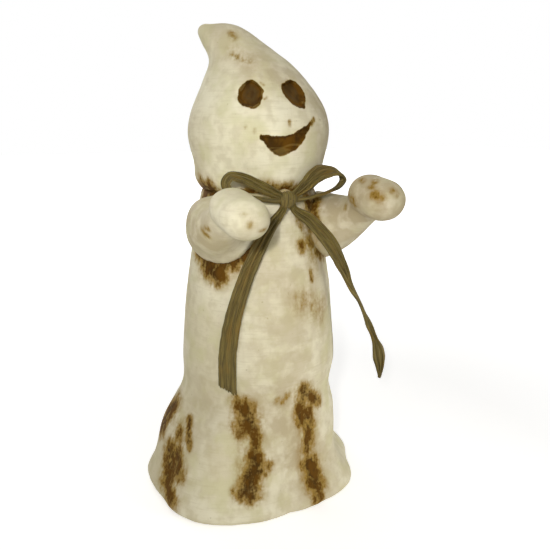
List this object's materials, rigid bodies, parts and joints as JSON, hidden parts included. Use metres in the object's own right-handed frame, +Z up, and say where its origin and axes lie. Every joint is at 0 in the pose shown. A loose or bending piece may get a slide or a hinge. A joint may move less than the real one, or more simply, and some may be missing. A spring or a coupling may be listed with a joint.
{
  "type": "ceramic ghost figure",
  "caption": "Hollow cream ceramic ghost figure with a curled top, pressed eyes and smile, raised arms, a swept fluted hem and an olive raffia bow; stands as a holiday decoration.",
  "frame": {"origin": "middle of the round upper body's foot print, on the plane that the foot stands on", "axes": "+Z up, -Y the way the face looks, +X towards the figure's own left"},
  "size_m": [0.1349, 0.1378, 0.2618],
  "materials": {
    "bisque": "matte cream paint with a brown wash rubbed into creases",
    "raffia": "dull olive paper raffia with lengthwise fibres",
    "glue": "set hot glue"
  },
  "bodies": {
    "figure": {"body_shell": "bisque", "head_shell": "bisque", "right_arm": "bisque", "left_arm": "bisque", "glue_dab": "glue", "bow_knot": "raffia", "right_loop": "raffia", "left_loop": "raffia"},
    "right_tail": {"right_tail": "raffia"},
    "left_tail": {"left_tail": "raffia"}
  },
  "joints": [
    {"name": "right_tail_lift", "type": "hinge", "parent": "figure", "child": "right_tail", "pos_m": [-0.0022, -0.0381, 0.169], "axis": [-1, 0, 0], "range_deg": [0, 30], "stiffness_Nm_per_rad": 0.003},
    {"name": "left_tail_lift", "type": "hinge", "parent": "figure", "child": "left_tail", "pos_m": [0.0022, -0.0381, 0.169], "axis": [-1, 0, 0], "range_deg": [0, 30], "stiffness_Nm_per_rad": 0.003}
  ]
}
